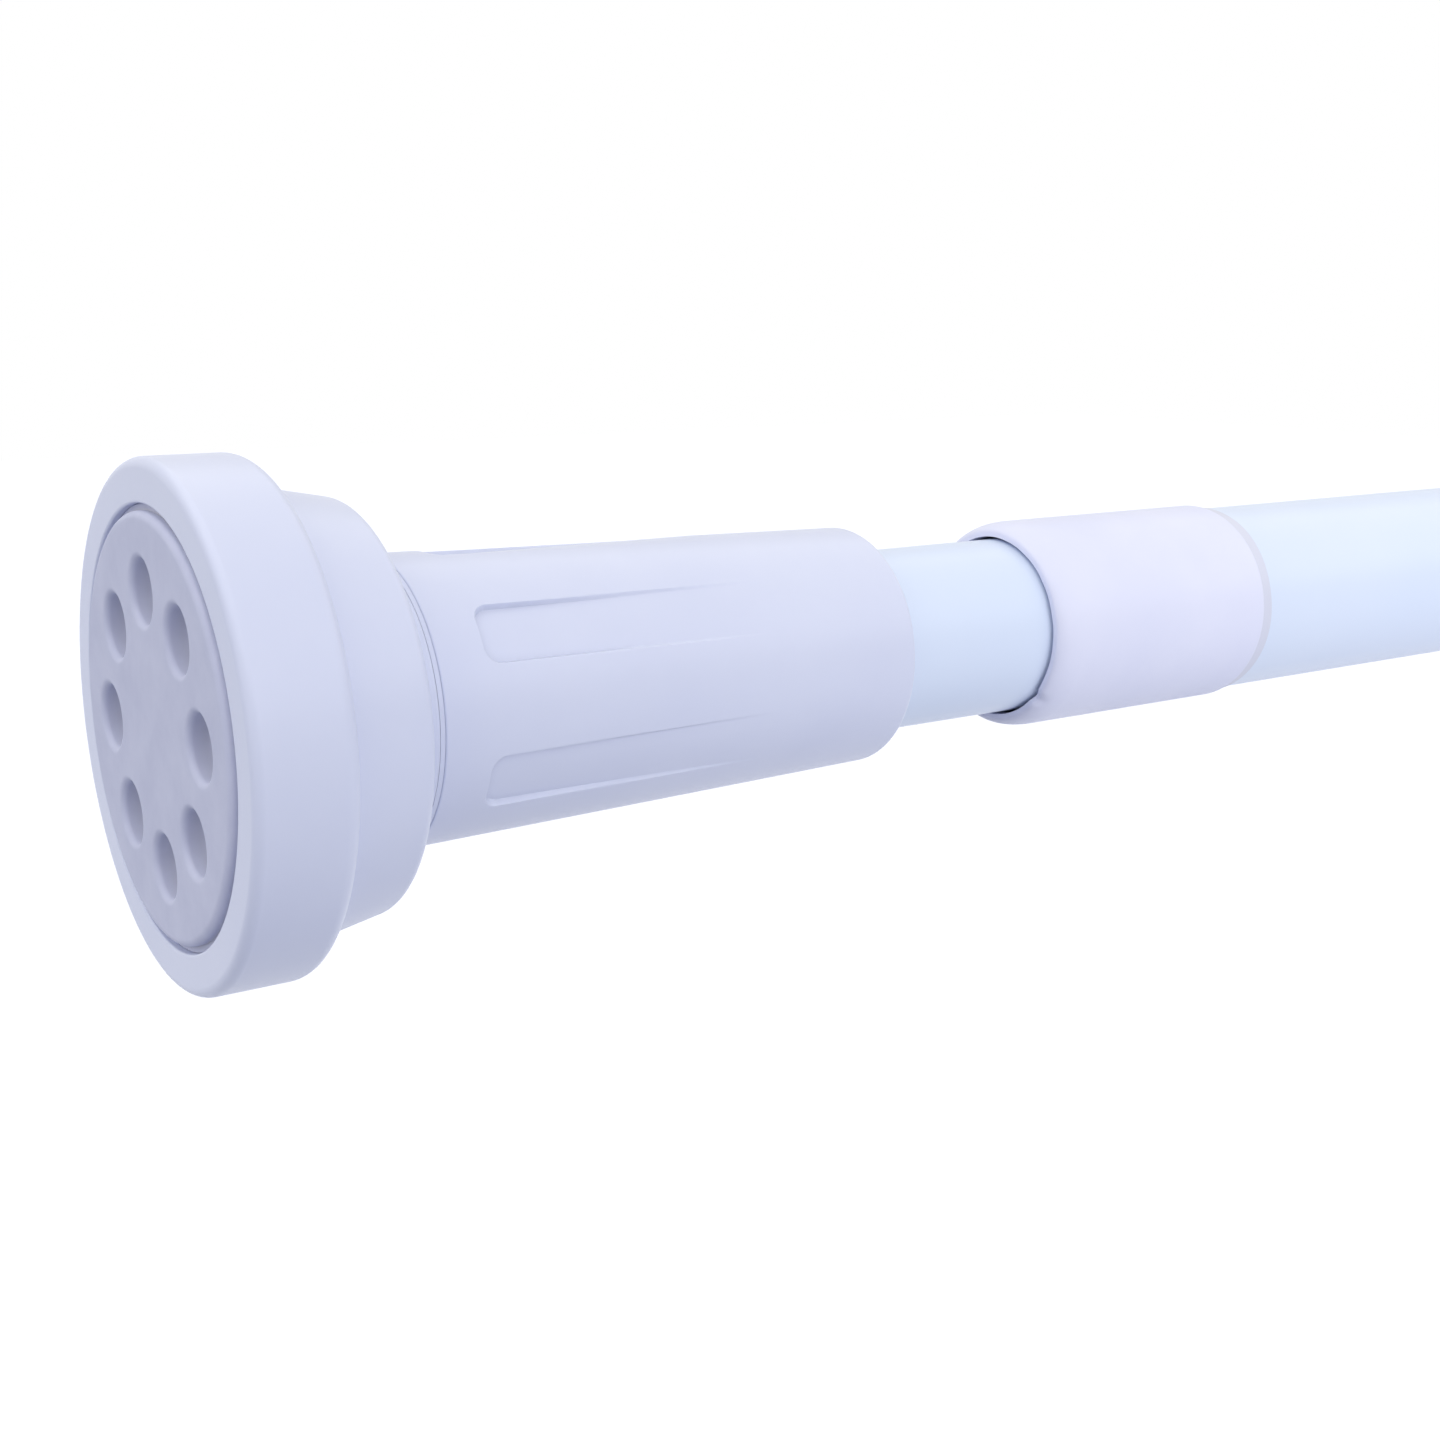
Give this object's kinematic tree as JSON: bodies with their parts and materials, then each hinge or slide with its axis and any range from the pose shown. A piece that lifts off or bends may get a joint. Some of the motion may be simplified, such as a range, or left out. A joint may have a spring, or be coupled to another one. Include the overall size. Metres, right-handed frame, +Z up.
{
  "type": "extendable curtain rod",
  "caption": "Extendable tension curtain rod: a thin white tube slides in a wider tube and locks by twisting; soft-padded round feet press on the walls and a turning grip jacks the rod tight.",
  "frame": {"origin": "centre of the jack end's pad face, where the rod meets the wall", "axes": "+X along the rod from the jack end to the fixed end, +Z up"},
  "size_m": [0.7222, 0.0526, 0.0526],
  "materials": {
    "moulding": "satin white moulding",
    "pad": "soft matte pale grey",
    "tube_coat": "glossy white coat on thin steel",
    "collar": "satin off-white",
    "nylon": "natural nylon",
    "zinc_steel": "bright zinc plate"
  },
  "bodies": {
    "foot": {"near_foot": "moulding", "near_pad": "pad", "jack_screw": "zinc_steel", "foot_nut": "zinc_steel", "foot_washer": "zinc_steel", "stop_clip": "zinc_steel"},
    "inner_tube": {"inner_tube": "tube_coat", "tube_bush": "nylon", "thrust_washer": "zinc_steel", "lock_plug": "nylon", "lock_stop_washer": "zinc_steel", "lock_stop_screw": "zinc_steel"},
    "grip": {"grip": "moulding", "grip_bearing": "nylon", "jack_nut": "zinc_steel"},
    "lock": {"lock_expander": "nylon"},
    "outer_tube": {"outer_tube": "tube_coat", "mouth_collar": "collar", "far_plug": "nylon", "far_sleeve": "moulding", "far_foot": "moulding", "far_pad": "pad", "far_screw": "zinc_steel", "far_washer": "zinc_steel"}
  },
  "joints": [
    {"name": "jack_travel", "type": "slide", "parent": "foot", "child": "inner_tube", "axis": [1, 0, 0], "range_m": [0, 0.024]},
    {"name": "grip_turn", "type": "hinge", "parent": "inner_tube", "child": "grip", "pos_m": [0.05, 0, 0], "axis": [1, 0, 0], "range_deg": [0, 2880]},
    {"name": "lock_twist", "type": "hinge", "parent": "inner_tube", "child": "lock", "pos_m": [0.62, 0, 0], "axis": [1, 0, 0], "range_deg": [0, 180]},
    {"name": "telescope", "type": "slide", "parent": "lock", "child": "outer_tube", "axis": [1, 0, 0], "range_m": [-0.0222, 0.428]}
  ],
  "couplings": [
    {"joint": "grip_turn", "follows": "jack_travel", "rad_per_m": 2094.4}
  ]
}
